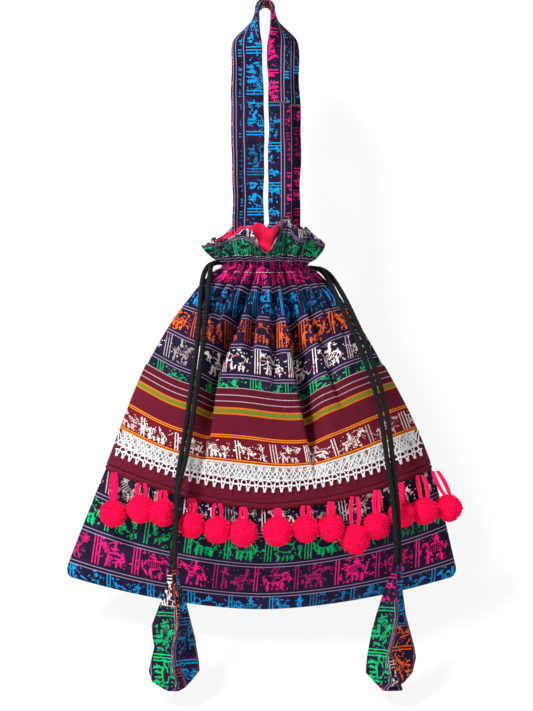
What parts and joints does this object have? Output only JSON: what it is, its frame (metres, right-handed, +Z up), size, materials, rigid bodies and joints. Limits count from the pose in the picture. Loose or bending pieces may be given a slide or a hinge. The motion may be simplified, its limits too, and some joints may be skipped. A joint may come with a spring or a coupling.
{
  "type": "potli bag",
  "caption": "Lined cloth drawstring pouch with two cloth handles, patterned rows, a lace-trimmed band, yarn pom-poms and cloth tassels on its cords.",
  "frame": {"origin": "inside the top bend of the two handles, where a hook or peg would carry the bag", "axes": "+Z up along the hanging bag, -Y towards the front with the band and pom-poms, +X to the right seen from the front"},
  "size_m": [0.332, 0.1163, 0.5889],
  "materials": {
    "front_cloth": "woven navy cotton with rows of bright figures",
    "back_cloth": "woven navy cotton with rows of bright figures",
    "lining_cloth": "plain pink-red lining cloth",
    "band_cloth": "ribbed maroon cloth with fine stripes",
    "lace_thread": "off-white crochet lace with a faint silver sheen",
    "hem_cloth": "rolled maroon hem",
    "handle_cloth": "padded strap of the patterned cloth",
    "cord_braid": "black braided cord",
    "tassel_cloth": "folded patterned cloth with piped seams",
    "pompom_yarn": "coral pink cut yarn"
  },
  "bodies": {
    "root": {"front_panel": "front_cloth", "back_panel": "back_cloth", "lining": "lining_cloth", "trim_band": "band_cloth", "lace_trim": "lace_thread", "hem_roll": "hem_cloth", "handle_front": "handle_cloth", "handle_back": "handle_cloth", "drawcord_left_in_casing": "cord_braid", "drawcord_right_in_casing": "cord_braid", "drawcord_left_end_a": "cord_braid", "drawcord_left_end_b": "cord_braid", "drawcord_right_end_a": "cord_braid", "drawcord_right_end_b": "cord_braid"},
    "pompom_01": {"pompom_01": "pompom_yarn", "pompom_loop_01": "pompom_yarn"},
    "pompom_02": {"pompom_02": "pompom_yarn", "pompom_loop_02": "pompom_yarn"},
    "pompom_03": {"pompom_03": "pompom_yarn", "pompom_loop_03": "pompom_yarn"},
    "pompom_04": {"pompom_04": "pompom_yarn", "pompom_loop_04": "pompom_yarn"},
    "pompom_05": {"pompom_05": "pompom_yarn", "pompom_loop_05": "pompom_yarn"},
    "pompom_06": {"pompom_06": "pompom_yarn", "pompom_loop_06": "pompom_yarn"},
    "pompom_07": {"pompom_07": "pompom_yarn", "pompom_loop_07": "pompom_yarn"},
    "pompom_08": {"pompom_08": "pompom_yarn", "pompom_loop_08": "pompom_yarn"},
    "pompom_09": {"pompom_09": "pompom_yarn", "pompom_loop_09": "pompom_yarn"},
    "pompom_10": {"pompom_10": "pompom_yarn", "pompom_loop_10": "pompom_yarn"},
    "pompom_11": {"pompom_11": "pompom_yarn", "pompom_loop_11": "pompom_yarn"},
    "pompom_12": {"pompom_12": "pompom_yarn", "pompom_loop_12": "pompom_yarn"},
    "pompom_13": {"pompom_13": "pompom_yarn", "pompom_loop_13": "pompom_yarn"},
    "pompom_14": {"pompom_14": "pompom_yarn", "pompom_loop_14": "pompom_yarn"},
    "tassel_left": {"tassel_left": "tassel_cloth"},
    "tassel_right": {"tassel_right": "tassel_cloth"}
  },
  "joints": [
    {"name": "pompom_01_swing", "type": "hinge", "parent": "root", "child": "pompom_01", "pos_m": [-0.1272, -0.01185, -0.39634], "axis": [-0.7921, 0.5304, 0.3021], "range_deg": [0, 80]},
    {"name": "pompom_02_swing", "type": "hinge", "parent": "root", "child": "pompom_02", "pos_m": [-0.1033, -0.02319, -0.40481], "axis": [-0.9036, 0.3132, 0.2921], "range_deg": [0, 80]},
    {"name": "pompom_03_swing", "type": "hinge", "parent": "root", "child": "pompom_03", "pos_m": [-0.085, -0.02884, -0.41043], "axis": [-0.9357, 0.2368, 0.2615], "range_deg": [0, 45]},
    {"name": "pompom_04_swing", "type": "hinge", "parent": "root", "child": "pompom_04", "pos_m": [-0.0608, -0.03401, -0.41658], "axis": [-0.9661, 0.1546, 0.2067], "range_deg": [0, 80]},
    {"name": "pompom_05_swing", "type": "hinge", "parent": "root", "child": "pompom_05", "pos_m": [-0.0395, -0.03699, -0.42074], "axis": [-0.9782, 0.1166, 0.1717], "range_deg": [0, 80]},
    {"name": "pompom_06_swing", "type": "hinge", "parent": "root", "child": "pompom_06", "pos_m": [-0.018, -0.03869, -0.42354], "axis": [-0.9942, 0.051, 0.0951], "range_deg": [0, 80]},
    {"name": "pompom_07_swing", "type": "hinge", "parent": "root", "child": "pompom_07", "pos_m": [0.0106, -0.03917, -0.4245], "axis": [-0.999, -0.017, -0.0405], "range_deg": [0, 80]},
    {"name": "pompom_08_swing", "type": "hinge", "parent": "root", "child": "pompom_08", "pos_m": [0.034, -0.03807, -0.42246], "axis": [-0.9868, -0.0851, -0.1381], "range_deg": [0, 80]},
    {"name": "pompom_09_swing", "type": "hinge", "parent": "root", "child": "pompom_09", "pos_m": [0.055, -0.03587, -0.4191], "axis": [-0.9773, -0.1195, -0.1748], "range_deg": [0, 80]},
    {"name": "pompom_10_swing", "type": "hinge", "parent": "root", "child": "pompom_10", "pos_m": [0.075, -0.03253, -0.41472], "axis": [-0.9533, -0.1908, -0.2342], "range_deg": [0, 80]},
    {"name": "pompom_11_swing", "type": "hinge", "parent": "root", "child": "pompom_11", "pos_m": [0.0938, -0.02817, -0.40972], "axis": [-0.926, -0.2608, -0.273], "range_deg": [0, 80]},
    {"name": "pompom_12_swing", "type": "hinge", "parent": "root", "child": "pompom_12", "pos_m": [0.113, -0.02196, -0.4037], "axis": [-0.8882, -0.3483, -0.2998], "range_deg": [0, 12]},
    {"name": "pompom_13_swing", "type": "hinge", "parent": "root", "child": "pompom_13", "pos_m": [0.1285, -0.01484, -0.39822], "axis": [-0.8279, -0.469, -0.3076], "range_deg": [0, 80]},
    {"name": "pompom_14_swing", "type": "hinge", "parent": "root", "child": "pompom_14", "pos_m": [0.1362, -0.00987, -0.3953], "axis": [-0.7635, -0.574, -0.2958], "range_deg": [0, 80]},
    {"name": "tassel_left_swing", "type": "hinge", "parent": "root", "child": "tassel_left", "pos_m": [-0.0765, -0.0555, -0.4783], "axis": [0, 1, 0], "range_deg": [-30, 30]},
    {"name": "tassel_right_swing", "type": "hinge", "parent": "root", "child": "tassel_right", "pos_m": [0.10965, -0.0541, -0.4743], "axis": [0, 1, 0], "range_deg": [-30, 30]}
  ]
}
